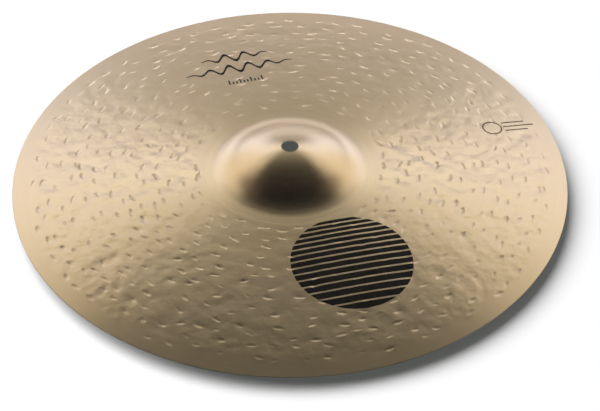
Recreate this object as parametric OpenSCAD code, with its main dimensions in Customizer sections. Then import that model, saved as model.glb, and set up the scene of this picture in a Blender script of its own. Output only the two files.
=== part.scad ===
// Crash cymbal, 16 inch: one thin plate of cast bell bronze, domed to a bow
// with a raised bell round the centre hole, and four marks printed on the bow.
//
// Origin: centre of the circle that the rim rests on. +Z runs up the axis, out
// of the top of the bell. The big emblem lies towards -Y, which is the front.
// All lengths are in millimetres and all angles in degrees.

/* [Plate] */
// Diameter over the rim
cymbal_d = 406.4; // [340:0.1:450]
// Rise of the bow, from the rim up to the foot of the bell
bow_h = 19.3; // [15:0.1:24]
// Slope of the bow where it leaves the bell
bow_slope = 3; // [2:0.1:4.5]
// Thickness of the metal at the rim
rim_t = 0.75; // [0.6:0.05:1.1]

/* [Bell] */
// Diameter of the bell at its foot
bell_d = 116; // [110:1:140]
// Rise of the bell, from its foot to its crown
bell_h = 19.8; // [15:0.1:24]
// Radius of the hollow that blends the bell into the bow
foot_blend_r = 30; // [20:1:60]
// Thickness of the metal over the whole bell
bell_t = 1.2; // [1:0.05:1.6]
// Diameter of the centre hole
hole_d = 12.7; // [10:0.1:14]

/* [Printed marks] */
// Thickness of the printed layer
ink_t = 0.2; // [0.15:0.05:0.4]
// Angle of the emblem, the waves and the ticks, seen from above
print_tilt = 15; // [0:1:30]
// Diameter of the striped emblem
emblem_d = 88; // [60:1:88]
// Distance of the emblem's centre from the axis
emblem_from_axis = 108.5; // [108.5:0.5:115]
// Number of stripes in the emblem
emblem_stripes = 15; // [6:1:18]
// Length of the longer of the two waves that stand for the script
flourish_l = 82; // [50:1:90]
// Length of the row of short ticks under the waves
tick_row_l = 26; // [15:1:30]
// Diameter of the small ring printed near the rim
side_ring_d = 15; // [10:0.5:18]

/* [Hidden] */
$fn = 128;

bronze = [0.80, 0.63, 0.42];
black_ink = [0.06, 0.05, 0.05];
brown_ink = [0.24, 0.16, 0.10];

// --- Upper face: three arcs that meet without a kink -----------------------

hole_r = hole_d / 2;
foot_r = bell_d / 2;
// The last ring of the upper face, where the rounded edge starts
edge_r = cymbal_d / 2 - rim_t / 2;

// Bow: an arc that starts at the foot of the bell and ends at edge_r
bow_run = edge_r - foot_r;
rim_slope = 2 * atan(bow_h / bow_run) - bow_slope;
bow_arc_r = bow_run / (sin(rim_slope) - sin(bow_slope));
foot_z = bow_h + rim_t / cos(rim_slope);
bow_centre = [foot_r - bow_arc_r * sin(bow_slope), foot_z - bow_arc_r * cos(bow_slope)];

// Foot blend: a hollow arc that touches the bow at the foot of the bell
blend_centre = [foot_r + foot_blend_r * sin(bow_slope), foot_z + foot_blend_r * cos(bow_slope)];

// Bell: an arc centred on the axis that touches the foot blend
crown_z = foot_z + bell_h;
crown_to_blend = blend_centre.y - crown_z;
dome_r = (blend_centre.x ^ 2 + crown_to_blend ^ 2 - foot_blend_r ^ 2)
       / (2 * (foot_blend_r - crown_to_blend));
dome_end_r = dome_r * blend_centre.x / (dome_r + foot_blend_r);
dome_end_slope = asin(dome_end_r / dome_r);

function upper_z(r) =
    r < dome_end_r ? crown_z - dome_r + sqrt(dome_r ^ 2 - r ^ 2)
  : r < foot_r ? blend_centre.y - sqrt(foot_blend_r ^ 2 - (blend_centre.x - r) ^ 2)
  : bow_centre.y + sqrt(bow_arc_r ^ 2 - (r - bow_centre.x) ^ 2);

// How steeply the upper face falls away from the axis
function slope(r) =
    r < dome_end_r ? asin(r / dome_r)
  : r < foot_r ? asin((blend_centre.x - r) / foot_blend_r)
  : asin((r - bow_centre.x) / bow_arc_r);

// The bell keeps one thickness, and the bow thins evenly out to the rim
function wall(r) =
    r < foot_r ? bell_t
  : bell_t + (rim_t - bell_t) * (r - foot_r) / (edge_r - foot_r);

function lower_z(r) = upper_z(r) - wall(r) / cos(slope(r));

// --- Rings at which the faces are drawn ------------------------------------

dome_steps = 14;
blend_steps = 10;
bow_steps = 18;
edge_steps = 6;

hole_slope = asin(hole_r / dome_r);
dome_rings = [for (i = [0 : dome_steps - 1])
    i == 0 ? hole_r
    : dome_r * sin(hole_slope + (dome_end_slope - hole_slope) * i / dome_steps)];
blend_rings = [for (i = [0 : blend_steps - 1])
    blend_centre.x - foot_blend_r
    * sin(dome_end_slope + (bow_slope - dome_end_slope) * i / blend_steps)];
bow_rings = [for (i = [0 : bow_steps]) foot_r + bow_run * i / bow_steps];
rings = concat(dome_rings, blend_rings, bow_rings);

function reversed(list) = [for (i = [len(list) - 1 : -1 : 0]) list[i]];

// --- The plate --------------------------------------------------------------

module cymbal_plate() {
    upper = [for (r = rings) [r, upper_z(r)]];
    lower = [for (r = reversed(rings)) [r, lower_z(r)]];
    edge_half_h = upper_z(edge_r) / 2;
    edge = [for (i = [1 : edge_steps - 1]) let (a = 90 - 180 * i / edge_steps)
        [edge_r + rim_t / 2 * cos(a), edge_half_h * (1 + sin(a))]];
    color(bronze) rotate_extrude() polygon(concat(upper, edge, lower));
}

// --- Printed marks ----------------------------------------------------------

// Turns a flat outline, given in plan, into a thin layer that lies on the bow
module print_on_bow() {
    film_bottom = [for (r = bow_rings) [r, upper_z(r)]];
    film_top = [for (r = reversed(bow_rings)) [r, upper_z(r) + ink_t]];
    intersection() {
        rotate_extrude() polygon(concat(film_bottom, film_top));
        linear_extrude(height = crown_z) children();
    }
}

// Striped disc: the stripes grow thicker towards the front
emblem_gap = 1.6;
emblem_azimuth = -66;
stripe_growth = 0.3;
stripe_steps = [for (i = [0 : emblem_stripes]) let (u = i / emblem_stripes)
    u * (1 + stripe_growth * (1 - u))];

module emblem_ink() {
    centre = emblem_from_axis * [cos(emblem_azimuth), sin(emblem_azimuth)];
    color(black_ink) print_on_bow() translate(centre) rotate(print_tilt) intersection() {
        circle(d = emblem_d);
        for (i = [0 : emblem_stripes - 1]) {
            bottom = emblem_d * (stripe_steps[i] - 0.5);
            top = emblem_d * (stripe_steps[i + 1] - 0.5) - emblem_gap;
            translate([-emblem_d / 2, bottom]) square([emblem_d, top - bottom]);
        }
    }
}

// Flourish: two waves, each a stroke that swells in the middle and fades at its ends
flourish_centre = [-38, 121];
flourish_line_gap = 16;
flourish_upper_share = 0.62;
flourish_wave_l = 15;
flourish_wave_h = 10;
flourish_stroke = 3.4;
flourish_steps = 64;

module wave_stroke(length) {
    function height_at(u) = flourish_wave_h / 2 * sin(180 * u) * sin(360 * u * length / flourish_wave_l);
    function half_stroke(u) = flourish_stroke / 2 * (0.2 + 0.8 * sin(180 * u));
    upper = [for (i = [0 : flourish_steps]) let (u = i / flourish_steps)
        [length * (u - 0.5), height_at(u) + half_stroke(u)]];
    lower = [for (i = [flourish_steps : -1 : 0]) let (u = i / flourish_steps)
        [length * (u - 0.5), height_at(u) - half_stroke(u)]];
    polygon(concat(upper, lower));
}

module flourish_ink() {
    color(black_ink) print_on_bow() translate(flourish_centre) rotate(print_tilt) {
        wave_stroke(flourish_l);
        translate([0, flourish_line_gap]) wave_stroke(flourish_l * flourish_upper_share);
    }
}

// Row of ticks: every third one is longer
tick_row_centre = [-33, 104];
tick_count = 10;
tick_w = 1.1;
tick_short = 3;
tick_long = 5.5;

module tick_row_ink() {
    pitch = (tick_row_l - tick_w) / (tick_count - 1);
    color(black_ink) print_on_bow() translate(tick_row_centre) rotate(print_tilt)
        for (i = [0 : tick_count - 1]) {
            tick_l = i % 3 == 0 ? tick_long : tick_short;
            translate([i * pitch - tick_row_l / 2, -tick_long / 2]) square([tick_w, tick_l]);
        }
}

// Side mark: a small ring and three thin bars, drawn outwards along a radius
side_mark_azimuth = 20.5;
side_mark_r = 160;
side_line_w = 1;
side_bar_l = 24;
side_bar_pitch = 4.5;

module side_mark_ink() {
    color(brown_ink) print_on_bow() rotate(side_mark_azimuth) translate([side_mark_r, 0]) {
        difference() {
            circle(d = side_ring_d);
            circle(d = side_ring_d - 2 * side_line_w);
        }
        for (side = [-1 : 1])
            translate([side_ring_d / 2 + 1.5, side * side_bar_pitch - side_line_w / 2])
                square([side_bar_l - abs(side) * 6, side_line_w]);
    }
}

cymbal_plate();
emblem_ink();
flourish_ink();
tick_row_ink();
side_mark_ink();
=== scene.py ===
"""Crash cymbal: a hammered and lathed bronze plate with printed marks, on a plain pale floor.

Lengths are in metres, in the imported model's frame: the rim rests on z = 0, the axis is +Z and
the big emblem lies towards -Y, which is the camera's side.
"""
import math

import bpy
import numpy as np
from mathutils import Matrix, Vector
from mathutils.geometry import delaunay_2d_cdt


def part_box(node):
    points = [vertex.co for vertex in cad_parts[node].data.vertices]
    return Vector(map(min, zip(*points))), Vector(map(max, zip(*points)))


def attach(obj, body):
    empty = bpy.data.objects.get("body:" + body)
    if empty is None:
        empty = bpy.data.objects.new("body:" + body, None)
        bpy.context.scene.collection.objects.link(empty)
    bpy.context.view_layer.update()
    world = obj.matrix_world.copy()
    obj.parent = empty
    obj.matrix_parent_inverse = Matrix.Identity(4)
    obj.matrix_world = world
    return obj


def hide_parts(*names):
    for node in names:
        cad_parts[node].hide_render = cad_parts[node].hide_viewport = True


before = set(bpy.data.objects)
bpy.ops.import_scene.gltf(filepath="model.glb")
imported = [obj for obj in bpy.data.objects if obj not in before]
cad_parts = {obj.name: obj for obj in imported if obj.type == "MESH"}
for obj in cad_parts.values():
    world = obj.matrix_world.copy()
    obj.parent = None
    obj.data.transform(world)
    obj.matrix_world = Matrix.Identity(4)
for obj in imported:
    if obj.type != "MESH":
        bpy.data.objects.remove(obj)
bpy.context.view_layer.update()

MM = 0.001
TAU = 2 * math.pi
rng = np.random.default_rng(16)


# --- The plate's profile, read from the CAD node ---------------------------------------------

def read_profile(node):
    """Radii of the CAD plate's rings, with the heights of its upper and its lower face."""
    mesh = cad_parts[node].data
    co = np.zeros(len(mesh.vertices) * 3)
    mesh.vertices.foreach_get("co", co)
    co = co.reshape(-1, 3)
    radius = np.hypot(co[:, 0], co[:, 1])
    rings = [radius.min()]
    for r in np.sort(radius):
        if r - rings[-1] > 0.03 * MM:
            rings.append(r)
    near = [co[np.abs(radius - r) < 0.02 * MM, 2] for r in rings]
    return np.array(rings), np.array([z.max() for z in near]), np.array([z.min() for z in near])


class SmoothCurve:
    """A natural cubic spline through points (x, y)."""

    def __init__(self, x, y):
        n, h = len(x), np.diff(x)
        a, b = np.zeros((n, n)), np.zeros(n)
        a[0, :2], b[0] = (2, 1), 3 * (y[1] - y[0]) / h[0]
        a[-1, -2:], b[-1] = (1, 2), 3 * (y[-1] - y[-2]) / h[-1]
        for i in range(1, n - 1):
            a[i, i - 1:i + 2] = 1 / h[i - 1], 2 / h[i - 1] + 2 / h[i], 1 / h[i]
            b[i] = 3 * ((y[i] - y[i - 1]) / h[i - 1] ** 2 + (y[i + 1] - y[i]) / h[i] ** 2)
        self.x, self.y, self.slope = x, y, np.linalg.solve(a, b)

    def __call__(self, at):
        i = np.clip(np.searchsorted(self.x, at) - 1, 0, len(self.x) - 2)
        h = self.x[i + 1] - self.x[i]
        t = np.clip((at - self.x[i]) / h, 0, 1)
        return ((1 + 2 * t) * (1 - t) ** 2 * self.y[i] + t * (1 - t) ** 2 * h * self.slope[i]
                + t * t * (3 - 2 * t) * self.y[i + 1] + t * t * (t - 1) * h * self.slope[i + 1])


RING_R, RING_TOP, RING_BOTTOM = read_profile("cymbal_plate")
HOLE_R, RIM_R = RING_R[0], RING_R[-1]
EDGE_ROUND = 0.36 * MM                      # the rounded edge is this deep
ON_FACE = RING_R < RIM_R - EDGE_ROUND
EDGE_R = RING_R[ON_FACE][-1]
upper_face = SmoothCurve(RING_R[ON_FACE], RING_TOP[ON_FACE])
lower_face = SmoothCurve(RING_R[ON_FACE], RING_BOTTOM[ON_FACE])

BELL_R = 63 * MM                            # the turned ring round the foot of the bell
HAMMER_START, HAMMER_END = 67 * MM, 193 * MM


def smoothstep(low, high, value):
    t = np.clip((value - low) / (high - low), 0, 1)
    return t * t * (3 - 2 * t)


# --- Hammer marks ------------------------------------------------------------------------------

ROW_FIRST, ROW_STEP, ROW_COUNT = 70 * MM, 9.12 * MM, 14
MARK_PITCH = 21 * MM                        # mean distance from mark to mark along a row
MARK_WINDOW = 5.5 * MM                      # no crater reaches further than this from its centre


def place_marks():
    """The hammer's blows: rings of short shallow strokes, struck along the rings."""
    marks = []
    for row in range(ROW_COUNT):
        radius = ROW_FIRST + row * ROW_STEP
        step = MARK_PITCH / radius
        turn = start = rng.random() * TAU
        while turn < start + TAU - 0.5 * step:
            r = radius + rng.normal(0, 1.5) * MM
            force = rng.uniform(0.3, 1.0)
            marks.append((
                r * math.cos(turn), r * math.sin(turn),
                turn + math.pi / 2 + math.radians(rng.normal(0, 13)),
                rng.uniform(3.5, 5.0) * (0.6 + 0.4 * force) * MM,  # half length, along the row
                rng.uniform(1.4, 1.9) * (0.7 + 0.3 * force) * MM,  # half width
                0.24 * force * MM,                                 # depth
            ))
            turn += step * rng.uniform(0.5, 1.5)
    return np.array(marks)


MARKS = place_marks()


def mark_reach(mark, x, y):
    """How far points lie from a crater's centre, where 1 is its lip."""
    cx, cy, turn, half_l, half_w = mark[:5]
    along = (x - cx) * math.cos(turn) + (y - cy) * math.sin(turn)
    across = (y - cy) * math.cos(turn) - (x - cx) * math.sin(turn)
    return np.hypot(along / half_l, across / half_w)


def crater_height(x, y):
    height = np.zeros_like(x)
    for mark in MARKS:
        near = np.flatnonzero((np.abs(x - mark[0]) < MARK_WINDOW) & (np.abs(y - mark[1]) < MARK_WINDOW))
        q = mark_reach(mark, x[near], y[near])
        height[near] -= mark[5] * np.clip(1 - q * q, 0, 1)
    return height


DENT_COUNT = 3200                           # older blows, on top of one dent for each mark


def place_dents():
    """Shallow dents: the metal that gave way round each mark, and many older blows between."""
    beside = MARKS[:, :2] + rng.normal(0, 1.5, (len(MARKS), 2)) * MM
    turn = rng.uniform(0, TAU, DENT_COUNT)
    radius = np.sqrt(rng.uniform(HAMMER_START ** 2, HAMMER_END ** 2, DENT_COUNT))
    between = np.stack([radius * np.cos(turn), radius * np.sin(turn)], 1)
    place = np.concatenate([beside, between])
    size = rng.uniform(2.2, 4.6, len(place)) * MM
    depth = size * rng.uniform(-0.027, 0.041, len(place))
    return np.column_stack([place, size, depth])


DENTS = place_dents()


def dent_height(x, y):
    height = np.zeros_like(x)
    for dent_x, dent_y, size, depth in DENTS:
        near = np.flatnonzero((np.abs(x - dent_x) < 2.4 * size) & (np.abs(y - dent_y) < 2.4 * size))
        apart = (x[near] - dent_x) ** 2 + (y[near] - dent_y) ** 2
        height[near] -= depth * np.exp(-apart / size ** 2)
    return height


# --- Lathe lines and waves -----------------------------------------------------------------------

LATHE_WAVES = [(rng.uniform(5, 12) * MM, rng.uniform(0, TAU), rng.uniform(0.5, 1)) for _ in range(14)]
LATHE_DEPTH = 1.6e-3 * MM
FOOT_LINE_DEPTH, FOOT_LINE_W = 0.03 * MM, 0.7 * MM
BUCKLE_WAVES = [(rng.uniform(14, 40) * MM, rng.uniform(0, TAU), rng.uniform(0, TAU)) for _ in range(40)]
BUCKLE_DEPTH = 3e-3 * MM


def lathe_height(radius):
    """The waves left by lathing, stronger on the bell, and the turned line round its foot."""
    height = np.zeros_like(radius)
    for length, phase, weight in LATHE_WAVES:
        height += weight * length / (5 * MM) * np.cos(TAU * radius / length + phase)
    inside = smoothstep(HOLE_R, HOLE_R + 2 * MM, radius)
    inside = inside * (1 - smoothstep(EDGE_R - 2 * MM, EDGE_R, radius))
    height *= 2 - smoothstep(BELL_R - 15 * MM, BELL_R, radius)
    foot_line = FOOT_LINE_DEPTH * np.exp(-((radius - BELL_R) / FOOT_LINE_W) ** 2)
    return LATHE_DEPTH * height * inside - foot_line


def buckle_height(x, y):
    """The slow unevenness of a hammered bow."""
    height = np.zeros_like(x)
    for length, heading, phase in BUCKLE_WAVES:
        along = x * math.cos(heading) + y * math.sin(heading)
        height += length / (25 * MM) * np.cos(TAU * along / length + phase)
    return BUCKLE_DEPTH * height


def broad_height(x, y):
    """Dents and buckles, which fade out towards the bell and the rim."""
    radius = np.hypot(x, y)
    inside = smoothstep(HAMMER_START - 3 * MM, HAMMER_START + 5 * MM, radius)
    inside *= 1 - smoothstep(HAMMER_END - 12 * MM, EDGE_R - 2 * MM, radius)
    return inside * (dent_height(x, y) + buckle_height(x, y))


def surface(x, y):
    """Height of the finished upper face."""
    radius = np.hypot(x, y)
    return upper_face(radius) + lathe_height(radius) + broad_height(x, y) + crater_height(x, y)


# --- The plate -----------------------------------------------------------------------------------

RIM_COUNT, HOLE_COUNT = 720, 216
BELL_END = 66 * MM                          # the regular rings of the bell end here
BOW_RINGS, BOW_PITCH = 1.65 * MM, 1.75 * MM        # spacing of the upper face's points on the bow
LOWER_RINGS, LOWER_PITCH = 4.2 * MM, 4.6 * MM


def ring_xy(radius, count, shift=0.0):
    turn = TAU * (np.arange(count) + shift) / count
    return np.stack([radius * np.cos(turn), radius * np.sin(turn)], 1)


def ringed_points(radii, pitch):
    """Points on rings, staggered from one ring to the next."""
    rings = []
    for i, radius in enumerate(radii):
        rings.append(ring_xy(radius, max(HOLE_COUNT, round(TAU * radius / pitch)), 0.5 * (i % 2)))
    return np.concatenate(rings)


def clear_of_marks(points):
    keep = np.ones(len(points), bool)
    for mark in MARKS:
        near = np.flatnonzero(keep & (np.abs(points[:, 0] - mark[0]) < 7 * MM)
                              & (np.abs(points[:, 1] - mark[1]) < 7 * MM))
        keep[near] = mark_reach(mark, points[near, 0], points[near, 1]) > 1.75
    return points[keep]


# reach of each ring, where 1 is the crater's lip, and its number of points
CRATER_RINGS = ((0.0, 1), (0.38, 6), (0.72, 12), (1.0, 20), (1.38, 16))


def crater_points():
    """Rings of points round every crater, so that its lip is an edge of the mesh."""
    points = []
    for cx, cy, turn, half_l, half_w in MARKS[:, :5]:
        for i, (reach, count) in enumerate(CRATER_RINGS):
            along, across = ring_xy(reach, count, 0.5 * (i % 2)).T * [[half_l], [half_w]]
            points.append(np.stack([cx + along * math.cos(turn) - across * math.sin(turn),
                                    cy + along * math.sin(turn) + across * math.cos(turn)], 1))
    return np.concatenate(points)


def triangulate(points, open_r):
    """Triangles between points in plan, counter-clockwise, with a circle left open in the middle."""
    made = delaunay_2d_cdt([Vector(p) for p in points / MM], [], [], 0, 1e-6)
    origin = np.array([o[0] for o in made[3]])
    tris = origin[np.array(made[2])]
    corners = points[tris]
    ab, ac = corners[:, 1] - corners[:, 0], corners[:, 2] - corners[:, 0]
    twice = ab[:, 0] * ac[:, 1] - ab[:, 1] * ac[:, 0]
    tris[twice < 0] = tris[twice < 0][:, ::-1]
    outside = np.hypot(corners[..., 0], corners[..., 1]).max(1) > open_r + 0.05 * MM
    return tris[outside & (np.abs(twice) > 1e-13)]


def band(first, second):
    """Two rows of triangles that join two closed rings of equal count."""
    a, b = np.asarray(first), np.asarray(second)
    a2, b2 = np.roll(a, -1), np.roll(b, -1)
    return np.concatenate([np.stack([a, b, b2], 1), np.stack([a, b2, a2], 1)])


def new_object(name, points, faces, materials):
    mesh = bpy.data.meshes.new(name)
    mesh.from_pydata(np.asarray(points).tolist(), [], np.asarray(faces).tolist())
    mesh.polygons.foreach_set("use_smooth", np.ones(len(mesh.polygons), bool))
    for material in materials:
        mesh.materials.append(material)
    mesh.update()
    obj = bpy.data.objects.new(name, mesh)
    bpy.context.scene.collection.objects.link(obj)
    return obj


def bell_rings():
    """Radii of the bell's rings, from the hole outwards, closer together at the turned ring."""
    plain = np.arange(HOLE_R, BELL_END - 0.5 * MM, 1.1 * MM)
    turned = BELL_R + np.array([-1.4, -0.9, -0.45, 0, 0.45, 0.9, 1.4]) * MM
    return np.sort(np.concatenate([plain[np.abs(plain - BELL_R) > 1.8 * MM], turned]))


def upper_skin():
    """The struck and turned face: regular rings on the bell, and scattered points on the bow."""
    bell = [ring_xy(radius, HOLE_COUNT) for radius in bell_rings()]
    meeting = ring_xy(BELL_END, HOLE_COUNT)
    rim = ring_xy(EDGE_R, RIM_COUNT)
    bow_radii = np.arange(BELL_END + 1.7 * MM, EDGE_R - 1 * MM, BOW_RINGS)
    bow = clear_of_marks(ringed_points(bow_radii, BOW_PITCH))
    outer = np.concatenate([rim, meeting, bow, crater_points()])
    plan = np.concatenate([outer, *bell])
    faces = [triangulate(outer, BELL_END)]
    ring = len(outer) + np.arange(HOLE_COUNT)
    for _ in bell[1:]:
        faces.append(band(ring, ring + HOLE_COUNT)[:, ::-1])
        ring = ring + HOLE_COUNT
    faces.append(band(ring, RIM_COUNT + np.arange(HOLE_COUNT))[:, ::-1])
    return plan, np.concatenate(faces), len(outer) + np.arange(HOLE_COUNT)


def make_plate(materials):
    """The whole plate: upper face, lower face, the CAD plate's rounded edge, and the bore."""
    upper, upper_faces, hole_top = upper_skin()
    upper_z = surface(upper[:, 0], upper[:, 1])

    lower_radii = np.arange(HOLE_R + 2.4 * MM, EDGE_R - 2 * MM, LOWER_RINGS)
    lower = np.concatenate([ring_xy(EDGE_R, RIM_COUNT), ring_xy(HOLE_R, HOLE_COUNT),
                            ringed_points(lower_radii, LOWER_PITCH)])
    lower_z = lower_face(np.hypot(*lower.T)) + broad_height(lower[:, 0], lower[:, 1])
    lower_faces = triangulate(lower, HOLE_R)[:, ::-1] + len(upper)

    points = [np.column_stack([upper, upper_z]), np.column_stack([lower, lower_z])]
    total = len(upper) + len(lower)
    faces = [upper_faces, lower_faces]
    past = np.flatnonzero(RING_R > EDGE_R + 0.02 * MM)
    edge = [(RING_R[i], RING_TOP[i]) for i in past] + [(RING_R[i], RING_BOTTOM[i]) for i in past[-2::-1]]
    above = np.arange(RIM_COUNT)
    for radius, z in edge:
        points.append(np.column_stack([ring_xy(radius, RIM_COUNT), np.full(RIM_COUNT, z)]))
        below = total + np.arange(RIM_COUNT)
        faces.append(band(above, below)[:, ::-1])
        above, total = below, total + RIM_COUNT
    faces.append(band(above, len(upper) + np.arange(RIM_COUNT))[:, ::-1])
    faces.append(band(hole_top, len(upper) + RIM_COUNT + np.arange(HOLE_COUNT)))
    plate = new_object("hammered_plate", np.concatenate(points), np.concatenate(faces), materials)
    plate.data.set_sharp_from_angle(angle=math.radians(60))

    # faces inside a crater take the hammer mark's own metal
    centre = upper[upper_faces].mean(1)
    struck = np.zeros(len(plate.data.polygons), np.int32)
    for mark in MARKS:
        near = np.flatnonzero((np.abs(centre[:, 0] - mark[0]) < MARK_WINDOW)
                              & (np.abs(centre[:, 1] - mark[1]) < MARK_WINDOW))
        struck[near] |= mark_reach(mark, centre[near, 0], centre[near, 1]) < 1
    plate.data.polygons.foreach_set("material_index", struck)
    return plate


# --- Printed marks ---------------------------------------------------------------------------------

INK_RISE = 0.07 * MM
EMBLEM_D, EMBLEM_R, EMBLEM_TURN = 88 * MM, 108.5 * MM, math.radians(-66)
EMBLEM_STRIPES, STRIPE_GAP, STRIPE_GROWTH = 15, 1.6 * MM, 0.3
PRINT_TILT = math.radians(15)


def placed(x, y, centre, turn):
    """Plan points of a mark drawn round its own centre."""
    c, s = math.cos(turn), math.sin(turn)
    return centre[0] + x * c - y * s, centre[1] + x * s + y * c


def ink_grid(x, y):
    """A closed thin layer of ink over a grid of plan points."""
    rows, columns = x.shape
    z = surface(x.ravel(), y.ravel())
    top = np.column_stack([x.ravel(), y.ravel(), z + INK_RISE])
    bottom = np.column_stack([x.ravel(), y.ravel(), z + 0.2 * INK_RISE])
    index = np.arange(rows * columns).reshape(rows, columns)
    quads = np.stack([index[:-1, :-1], index[:-1, 1:], index[1:, 1:], index[1:, :-1]], -1).reshape(-1, 4)
    around = np.concatenate([index[0], index[1:, -1], index[-1, -2::-1], index[-2:0:-1, 0]])
    after, under = np.roll(around, -1), rows * columns
    walls = np.stack([around, around + under, after + under, after], 1)
    return np.concatenate([top, bottom]), np.concatenate([quads, quads[:, ::-1] + under, walls])


def ink_piece(name, grids, material, node):
    points, faces, total = [], [], 0
    for x, y in grids:
        p, f = ink_grid(x, y)
        points.append(p)
        faces.append(f + total)
        total += len(p)
    piece = new_object(name, np.concatenate(points), np.concatenate(faces), [material])
    piece.data.set_sharp_from_angle(angle=math.radians(60))
    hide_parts(node)
    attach(piece, "root")


def unit_grid(columns, rows):
    return np.meshgrid(np.linspace(0, 1, columns), np.linspace(0, 1, rows))


def emblem_grids():
    """Stripes of a disc, thicker towards the front."""
    centre = EMBLEM_R * math.cos(EMBLEM_TURN), EMBLEM_R * math.sin(EMBLEM_TURN)
    u = np.arange(EMBLEM_STRIPES + 1) / EMBLEM_STRIPES
    steps = EMBLEM_D * (u * (1 + STRIPE_GROWTH * (1 - u)) - 0.5)
    for low, high in zip(steps[:-1], steps[1:]):
        along, across = unit_grid(72, 7)
        y = low + (high - STRIPE_GAP - low) * across
        half = np.sqrt(np.maximum(EMBLEM_D ** 2 / 4 - y * y, (0.6 * MM) ** 2))
        yield placed(half * (2 * along - 1), y, centre, PRINT_TILT)


FLOURISH_CENTRE, FLOURISH_GAP, FLOURISH_L = (-38 * MM, 121 * MM), 16 * MM, 82 * MM
FLOURISH_SHARE, WAVE_L, WAVE_H, STROKE = 0.62, 15 * MM, 10 * MM, 3.4 * MM


def flourish_grids():
    """Two waves, each a stroke that swells in the middle."""
    for length, rise in ((FLOURISH_L, 0), (FLOURISH_L * FLOURISH_SHARE, FLOURISH_GAP)):
        u, v = unit_grid(150, 5)
        swell = np.sin(math.pi * u)
        line = WAVE_H / 2 * swell * np.sin(TAU * u * length / WAVE_L)
        y = rise + line + STROKE / 2 * (0.2 + 0.8 * swell) * (2 * v - 1)
        yield placed(length * (u - 0.5), y, FLOURISH_CENTRE, PRINT_TILT)


TICK_CENTRE, TICK_COUNT, TICK_ROW_L = (-33 * MM, 104 * MM), 10, 26 * MM
TICK_W, TICK_SHORT, TICK_LONG = 1.1 * MM, 3 * MM, 5.5 * MM


def tick_grids():
    pitch = (TICK_ROW_L - TICK_W) / (TICK_COUNT - 1)
    for i in range(TICK_COUNT):
        u, v = unit_grid(3, 6)
        x = i * pitch - TICK_ROW_L / 2 + TICK_W * u
        y = (TICK_SHORT if i % 3 else TICK_LONG) * v - TICK_LONG / 2
        yield placed(x, y, TICK_CENTRE, PRINT_TILT)


SIDE_TURN, SIDE_R, SIDE_RING_D, SIDE_LINE = math.radians(20.5), 160 * MM, 15 * MM, 1 * MM
SIDE_BAR_L, SIDE_BAR_PITCH = 24 * MM, 4.5 * MM


def side_mark_grids():
    """A small ring and three thin bars that run outwards."""
    centre = SIDE_R * math.cos(SIDE_TURN), SIDE_R * math.sin(SIDE_TURN)
    for half in range(2):
        u, v = unit_grid(40, 3)
        turn = math.pi * (u + half)
        radius = SIDE_RING_D / 2 - SIDE_LINE * v
        yield placed(radius * np.cos(turn), radius * np.sin(turn), centre, SIDE_TURN)
    for side in (-1, 0, 1):
        u, v = unit_grid(20, 3)
        x = SIDE_RING_D / 2 + 1.5 * MM + (SIDE_BAR_L - abs(side) * 6 * MM) * u
        yield placed(x, side * SIDE_BAR_PITCH + SIDE_LINE * (v - 0.5), centre, SIDE_TURN)


# --- Materials -----------------------------------------------------------------------------------

class Nodes:
    """A short way to build a node tree."""

    def __init__(self, tree):
        self.tree = tree
        tree.nodes.clear()

    def add(self, kind, inputs=(), **settings):
        node = self.tree.nodes.new(kind)
        for key, value in settings.items():
            setattr(node, key, value)
        for key, value in dict(inputs).items():
            if isinstance(value, bpy.types.NodeSocket):
                self.tree.links.new(value, node.inputs[key])
            else:
                node.inputs[key].default_value = value
        return node

    def math(self, operation, a, b=0.0, c=0.0):
        return self.add("ShaderNodeMath", {0: a, 1: b, 2: c}, operation=operation).outputs[0]

    def step(self, value, low, high, to_low=0.0, to_high=1.0):
        node = self.add("ShaderNodeMapRange", {"Value": value, "From Min": low, "From Max": high,
                                               "To Min": to_low, "To Max": to_high},
                        interpolation_type="SMOOTHSTEP")
        return node.outputs["Result"]

    def mix(self, factor, a, b):
        node = self.add("ShaderNodeMix", {"Factor": factor, 6: a, 7: b}, data_type="RGBA")
        return node.outputs[2]

    def noise(self, scale, vector=None, w=None, detail=2.0):
        if w is None:
            node = self.add("ShaderNodeTexNoise", {"Vector": vector, "Scale": scale, "Detail": detail})
        else:
            node = self.add("ShaderNodeTexNoise", {"W": w, "Scale": scale, "Detail": detail},
                            noise_dimensions="1D")
        return node.outputs["Factor" if "Factor" in node.outputs else "Fac"]


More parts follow.
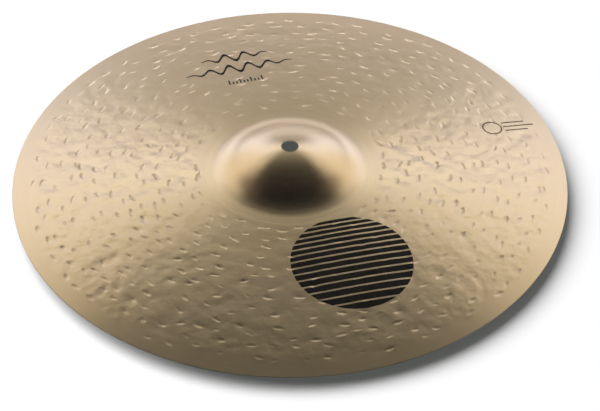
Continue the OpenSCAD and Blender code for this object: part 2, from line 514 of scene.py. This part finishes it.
def bronze(name, light, dark, roughness, anisotropic, scratch):
    """Lathed bell bronze: rings of fine grooves, which spread each reflection outwards."""
    material = bpy.data.materials.new(name)
    material.use_nodes = True
    n = Nodes(material.node_tree)
    place = n.add("ShaderNodeTexCoord").outputs["Object"]
    flat = n.add("ShaderNodeVectorMath", {0: place, 1: (1, 1, 0)}, operation="MULTIPLY").outputs[0]
    radius = n.add("ShaderNodeVectorMath", {0: flat}, operation="LENGTH").outputs["Value"]
    fine = n.noise(1500, w=radius)
    coarse = n.noise(230, w=radius, detail=3)
    patch = n.noise(26, vector=place, detail=3)
    grain = n.noise(900, vector=place)
    tone = n.math("ADD", n.math("MULTIPLY", patch, 0.6), n.math("MULTIPLY", coarse, 0.4))
    colour = n.mix(n.step(tone, 0.3, 0.7), dark, light)
    rough = n.math("MULTIPLY_ADD", coarse, 0.10, roughness - 0.05)
    rough = n.math("MULTIPLY_ADD", patch, 0.08, n.math("SUBTRACT", rough, 0.04))
    rough = n.math("SUBTRACT", rough, n.step(radius, 58 * MM, 66 * MM, 0.03, 0.0))
    turned = n.noise(420, w=radius, detail=1)
    turned = n.math("MULTIPLY", turned, n.step(radius, 59 * MM, 65 * MM, 4.0 * scratch, 0.8 * scratch))
    groove = n.math("ADD", n.math("MULTIPLY", fine, 0.4 * scratch), n.math("MULTIPLY", grain, 0.15))
    groove = n.math("ADD", groove, turned)
    lumps = n.math("MULTIPLY", n.step(radius, 64 * MM, 74 * MM, 0.0, 15.0),
                   n.step(radius, 182 * MM, 197 * MM, 1.0, 0.0))
    groove = n.math("MULTIPLY_ADD", n.noise(170, vector=place, detail=1), lumps, groove)
    bump = n.add("ShaderNodeBump", {"Height": groove, "Distance": 0.012 * MM})
    tangent = n.add("ShaderNodeTangent", direction_type="RADIAL", axis="Z")
    shader = n.add("ShaderNodeBsdfPrincipled", {
        "Base Color": colour, "Metallic": 1.0, "Roughness": rough, "Anisotropic": anisotropic,
        "Anisotropic Rotation": 0.25, "Tangent": tangent.outputs[0], "Normal": bump.outputs[0]})
    n.add("ShaderNodeOutputMaterial", {"Surface": shader.outputs[0]})
    return material


def ink(name, colour):
    """Thin printed ink: nearly matte, with a little wear where the metal shows through."""
    material = bpy.data.materials.new(name)
    material.use_nodes = True
    n = Nodes(material.node_tree)
    place = n.add("ShaderNodeTexCoord").outputs["Object"]
    mottle = n.noise(260, vector=place, detail=3)
    faded = tuple(c * 1.8 + 0.001 for c in colour[:3]) + (1,)
    shade = n.mix(n.step(mottle, 0.35, 0.75), colour, faded)
    bump = n.add("ShaderNodeBump", {"Height": n.noise(1800, vector=place), "Strength": 0.25,
                                    "Distance": 0.02 * MM})
    rough = n.math("MULTIPLY_ADD", mottle, 0.2, 0.42)
    shader = n.add("ShaderNodeBsdfPrincipled", {
        "Base Color": shade, "Roughness": rough, "Specular IOR Level": 0.15, "Normal": bump.outputs[0]})
    n.add("ShaderNodeOutputMaterial", {"Surface": shader.outputs[0]})
    return material


# --- Stage -----------------------------------------------------------------------------------------

FLOOR_GAP = 12 * MM                         # the photo's shadow falls as if the cymbal floated
FLOOR_HALF = 30                             # metres, so that the floor's edge is out of sight


def make_floor():
    size = FLOOR_HALF
    floor = new_object("floor", [(-size, -size, -FLOOR_GAP), (size, -size, -FLOOR_GAP),
                                 (size, size, -FLOOR_GAP), (-size, size, -FLOOR_GAP)], [(0, 1, 2, 3)], [])
    material = bpy.data.materials.new("pale_floor")
    material.use_nodes = True
    shader = material.node_tree.nodes["Principled BSDF"]
    shader.inputs["Base Color"].default_value = (0.86, 0.86, 0.86, 1)
    shader.inputs["Roughness"].default_value = 0.9
    shader.inputs["Specular IOR Level"].default_value = 0.1
    floor.data.materials.append(material)
    floor.visible_glossy = False


def toward(azimuth, elevation):
    """Unit vector: azimuth 0 is +Y, away from the camera, and grows towards +X."""
    a, e = math.radians(azimuth), math.radians(elevation)
    return math.sin(a) * math.cos(e), math.cos(a) * math.cos(e), math.sin(e)


AMBIENT = 0.16                              # what lights the floor and the ink from all round


def make_studio():
    """What the metal mirrors: soft panels behind and beside it, dark above and in front.

    The panels come in pairs, to the left and the right of the dark gap behind the bell.
    """
    world = bpy.data.worlds.new("studio")
    bpy.context.scene.world = world
    world.use_nodes = True
    n = Nodes(world.node_tree)
    heading = n.add("ShaderNodeTexCoord").outputs["Generated"]
    x, y, z = n.add("ShaderNodeSeparateXYZ", {0: heading}).outputs
    azimuth = n.math("DEGREES", n.math("ARCTAN2", n.math("ABSOLUTE", x), y))
    elevation = n.math("DEGREES", n.math("ARCSINE", z))

    def between(value, low, low_soft, high, high_soft):
        rise = n.step(value, low - low_soft, low + low_soft)
        return n.math("MULTIPLY", rise, n.step(value, high - high_soft, high + high_soft, 1.0, 0.0))

    def panel(azimuths, elevations, colour):
        share = n.math("MULTIPLY", between(azimuth, *azimuths), between(elevation, *elevations))
        return n.add("ShaderNodeVectorMath", {0: colour, "Scale": share}, operation="SCALE").outputs[0]

    # azimuths, elevations and colour. Each pair of angles is an edge, in degrees from straight
    # behind the cymbal or above the horizon, and half the width over which the edge fades.
    parts = [
        panel((15, 8, 30, 10), (0, 2, 45, 3), (1.3, 1.3, 1.5)),
        panel((30, 10, 65, 10), (0, 2, 55, 5), (0.9, 0.8, 0.6)),
        panel((-30, 8, 15, 10), (5, 3, 15, 4), (2.8, 2.6, 2.7)),
        panel((-30, 8, 15, 8), (40, 3, 50, 5), (1.5, 1.4, 1.1)),
        panel((65, 10, 120, 20), (0, 2, 30, 8), (0.5, 0.35, 0.25)),
    ]
    below = n.step(elevation, -2.0, 2.0, 1.0, 0.0)
    parts.append(n.add("ShaderNodeVectorMath", {0: (0.15, 0.2, 0.25), "Scale": below},
                       operation="SCALE").outputs[0])
    total = (0.01, 0.01, 0.01)
    for part in parts:
        total = n.add("ShaderNodeVectorMath", {0: total, 1: part}, operation="ADD").outputs[0]
    mirrored = n.add("ShaderNodeBackground", {"Color": total}).outputs[0]
    ambient = n.add("ShaderNodeBackground", {"Color": (1, 1, 1, 1), "Strength": AMBIENT}).outputs[0]
    shown = n.add("ShaderNodeBackground", {"Color": (1, 1, 1, 1)}).outputs[0]
    ray = n.add("ShaderNodeLightPath").outputs
    mixed = n.add("ShaderNodeMixShader", {0: ray["Is Glossy Ray"], 1: ambient, 2: mirrored}).outputs[0]
    mixed = n.add("ShaderNodeMixShader", {0: ray["Is Camera Ray"], 1: mixed, 2: shown}).outputs[0]
    n.add("ShaderNodeOutputWorld", {"Surface": mixed})


KEY_ENERGY, KEY_ANGLE = 4.05, math.radians(68)
KEY_AZIMUTH, KEY_ELEVATION = -80, 54


def make_key_light():
    """A broad soft light from the left. It lights the floor and throws the shadow."""
    light = bpy.data.lights.new("key", "SUN")
    light.energy, light.angle = KEY_ENERGY, KEY_ANGLE
    obj = bpy.data.objects.new("key", light)
    obj.rotation_euler = Vector(toward(KEY_AZIMUTH, KEY_ELEVATION)).to_track_quat("Z", "Y").to_euler()
    obj.visible_glossy = False
    bpy.context.scene.collection.objects.link(obj)


# the elevation is read from the rim's ellipse; the distance is assumed, and sets the lens
CAMERA_ELEVATION, CAMERA_DISTANCE, CAMERA_LENS = 41.03, 3.2, 262.1
AIM_RIGHT, AIM_DOWN = 7.3 * MM, 14.1 * MM   # the object sits a little left of the middle, and high
RIM_Z = 0.76 * MM                           # height of the edge's upper ring over the rim's lowest line


def make_camera():
    camera = bpy.data.cameras.new("camera")
    camera.lens, camera.sensor_width = CAMERA_LENS, 36
    camera.clip_start, camera.clip_end = 0.1, 100
    obj = bpy.data.objects.new("camera", camera)
    back = Vector(toward(180, CAMERA_ELEVATION))
    right = Vector((1, 0, 0))
    up = back.cross(right)
    rim_centre = Vector((0, 0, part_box("cymbal_plate")[0].z + RIM_Z))
    obj.location = rim_centre + back * CAMERA_DISTANCE
    aim = rim_centre + right * AIM_RIGHT - up * AIM_DOWN
    obj.rotation_euler = (obj.location - aim).to_track_quat("Z", "Y").to_euler()
    bpy.context.scene.collection.objects.link(obj)
    bpy.context.scene.camera = obj


# --- Everything together ----------------------------------------------------------------------------

BRIGHT_BRONZE = (0.92, 0.76, 0.55, 1)


def main():
    lathed = bronze("lathed_bronze", BRIGHT_BRONZE, (0.88, 0.72, 0.51, 1), 0.34, 0.86, 1.0)
    struck = bronze("struck_bronze", BRIGHT_BRONZE, (0.84, 0.68, 0.47, 1), 0.35, 0.0, 0.0)
    plate = make_plate([lathed, struck])
    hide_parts("cymbal_plate")
    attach(plate, "root")

    black = ink("black_ink", (0.004, 0.0035, 0.003, 1))
    brown = ink("brown_ink", (0.075, 0.045, 0.028, 1))
    ink_piece("emblem_print", emblem_grids(), black, "emblem_ink")
    ink_piece("flourish_print", flourish_grids(), black, "flourish_ink")
    ink_piece("tick_row_print", tick_grids(), black, "tick_row_ink")
    ink_piece("side_mark_print", side_mark_grids(), brown, "side_mark_ink")

    make_floor()
    make_studio()
    make_key_light()
    make_camera()
    bpy.context.scene.view_settings.view_transform = "Standard"
    bpy.context.scene.view_settings.look = "None"


main()
